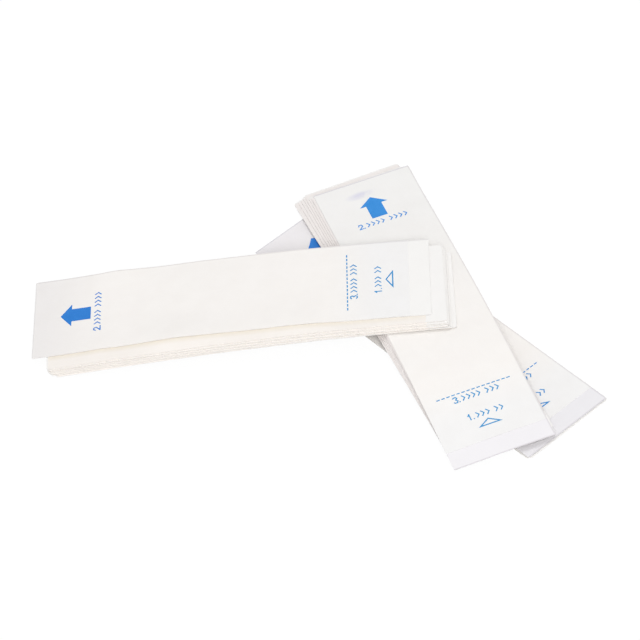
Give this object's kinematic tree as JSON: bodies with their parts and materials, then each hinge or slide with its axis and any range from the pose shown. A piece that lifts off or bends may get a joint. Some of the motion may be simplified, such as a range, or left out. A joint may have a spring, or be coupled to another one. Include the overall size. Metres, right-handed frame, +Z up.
{
  "type": "dental barrier sleeve bundles",
  "caption": "Loose crossed bundles of flat paper-and-film barrier sleeves, with peel-back paper, an insertion mouth and a snap-off tail.",
  "frame": {"origin": "middle of the lower bundle's bottom face, on the surface that the pile lies on", "axes": "+Z up; +X and +Y level, with the upper bundle pointing about 6 degrees off +X"},
  "size_m": [0.3189, 0.2435, 0.0168],
  "materials": {
    "paper": "smooth matte medical paper, warm white",
    "film": "thin frosted film, cool white, slight sheen",
    "ink": "flat blue printed ink"
  },
  "bodies": {
    "lower_bundle": {"lower_sleeve_2": "paper", "lower_sleeve_3": "paper"},
    "lower_top_sleeve": {"lower_front_paper": "paper", "lower_front_film": "film", "lower_back_film": "film", "lower_back_paper": "paper", "lower_peel_print": "ink"},
    "lower_tail": {"lower_tail_front_paper": "paper", "lower_tail_front_film": "film", "lower_tail_back_film": "film", "lower_tail_back_paper": "paper", "lower_tail_print": "ink"},
    "middle_bundle": {"middle_sleeve_2": "paper", "middle_sleeve_3": "paper", "middle_sleeve_4": "paper", "middle_sleeve_5": "paper", "middle_sleeve_6": "paper", "middle_sleeve_7": "paper", "middle_sleeve_8": "paper"},
    "middle_top_sleeve": {"middle_front_paper": "paper", "middle_front_film": "film", "middle_back_film": "film", "middle_back_paper": "paper"},
    "middle_peel_flap": {"middle_peel_flap": "paper", "middle_peel_print": "ink"},
    "middle_tail": {"middle_tail_back_film": "film", "middle_tail_back_paper": "paper"},
    "middle_mouth": {"middle_tail_front_paper": "paper", "middle_tail_front_film": "film", "middle_tail_print": "ink"},
    "upper_bundle": {"upper_sleeve_2": "paper", "upper_sleeve_3": "paper", "upper_sleeve_4": "paper", "upper_sleeve_5": "paper", "upper_sleeve_6": "paper", "upper_sleeve_7": "paper", "upper_sleeve_8": "paper", "upper_sleeve_9": "paper"},
    "upper_top_sleeve": {"upper_front_film": "film", "upper_back_film": "film", "upper_back_paper": "paper"},
    "upper_peel_flap_1": {"upper_peel_flap_1": "paper"},
    "upper_peel_flap_2": {"upper_peel_flap_2": "paper"},
    "upper_peel_flap_3": {"upper_peel_flap_3": "paper"},
    "upper_peel_flap_4": {"upper_peel_flap_4": "paper", "upper_peel_print": "ink"},
    "upper_tail": {"upper_tail_back_film": "film", "upper_tail_back_paper": "paper"},
    "upper_mouth": {"upper_tail_front_paper": "paper", "upper_tail_front_film": "film", "upper_tail_print": "ink"}
  },
  "joints": [
    {"name": "lower_pull", "type": "slide", "parent": "lower_bundle", "child": "lower_top_sleeve", "axis": [0.5807, -0.8141, 0], "range_m": [0, 0.08]},
    {"name": "lower_tail_pull", "type": "slide", "parent": "lower_top_sleeve", "child": "lower_tail", "axis": [0.5807, -0.8141, 0], "range_m": [0, 0.04]},
    {"name": "middle_lift", "type": "slide", "parent": "lower_bundle", "child": "middle_bundle", "axis": [0, 0, 1], "range_m": [0, 0.06]},
    {"name": "middle_top_lift", "type": "slide", "parent": "middle_bundle", "child": "middle_top_sleeve", "axis": [0, 0, 1], "range_m": [0, 0.04]},
    {"name": "middle_peel", "type": "hinge", "parent": "middle_top_sleeve", "child": "middle_peel_flap", "pos_m": [-0.01349, 0.07402, 0.0092], "axis": [0.9724, 0.2334, 0], "range_deg": [0, 75]},
    {"name": "middle_tail_fold", "type": "hinge", "parent": "middle_top_sleeve", "child": "middle_tail", "pos_m": [0.01896, -0.06114, 0.00941], "axis": [-0.9724, -0.2334, 0], "range_deg": [0, 80]},
    {"name": "middle_mouth_open", "type": "hinge", "parent": "middle_tail", "child": "middle_mouth", "pos_m": [0.01896, -0.06114, 0.00941], "axis": [-0.9724, -0.2334, 0], "range_deg": [0, 25]},
    {"name": "upper_lift", "type": "slide", "parent": "middle_top_sleeve", "child": "upper_bundle", "axis": [0, 0, 1], "range_m": [0, 0.06]},
    {"name": "upper_top_lift", "type": "slide", "parent": "upper_bundle", "child": "upper_top_sleeve", "axis": [0, 0, 1], "range_m": [0, 0.04]},
    {"name": "upper_peel_1", "type": "hinge", "parent": "upper_top_sleeve", "child": "upper_peel_flap_1", "pos_m": [-0.04162, 0.02671, 0.01669], "axis": [0.0976, 0.9952, 0], "range_deg": [0, 35]},
    {"name": "upper_peel_2", "type": "hinge", "parent": "upper_peel_flap_1", "child": "upper_peel_flap_2", "pos_m": [-0.08773, 0.03123, 0.01538], "axis": [0.0976, 0.9952, 0], "range_deg": [0, 35]},
    {"name": "upper_peel_3", "type": "hinge", "parent": "upper_peel_flap_2", "child": "upper_peel_flap_3", "pos_m": [-0.13385, 0.03576, 0.01275], "axis": [0.0976, 0.9952, 0], "range_deg": [0, 35]},
    {"name": "upper_peel_4", "type": "hinge", "parent": "upper_peel_flap_3", "child": "upper_peel_flap_4", "pos_m": [-0.17996, 0.04028, 0.00913], "axis": [0.0976, 0.9952, 0], "range_deg": [0, 35]},
    {"name": "upper_tail_fold", "type": "hinge", "parent": "upper_top_sleeve", "child": "upper_tail", "pos_m": [-0.04162, 0.02671, 0.01669], "axis": [-0.0976, -0.9952, 0], "range_deg": [0, 80]},
    {"name": "upper_mouth_open", "type": "hinge", "parent": "upper_tail", "child": "upper_mouth", "pos_m": [-0.04162, 0.02671, 0.01669], "axis": [-0.0976, -0.9952, 0], "range_deg": [0, 25]}
  ],
  "couplings": [
    {"joint": "upper_peel_2", "follows": "upper_peel_1", "ratio": 1},
    {"joint": "upper_peel_3", "follows": "upper_peel_1", "ratio": 1},
    {"joint": "upper_peel_4", "follows": "upper_peel_1", "ratio": 1}
  ]
}
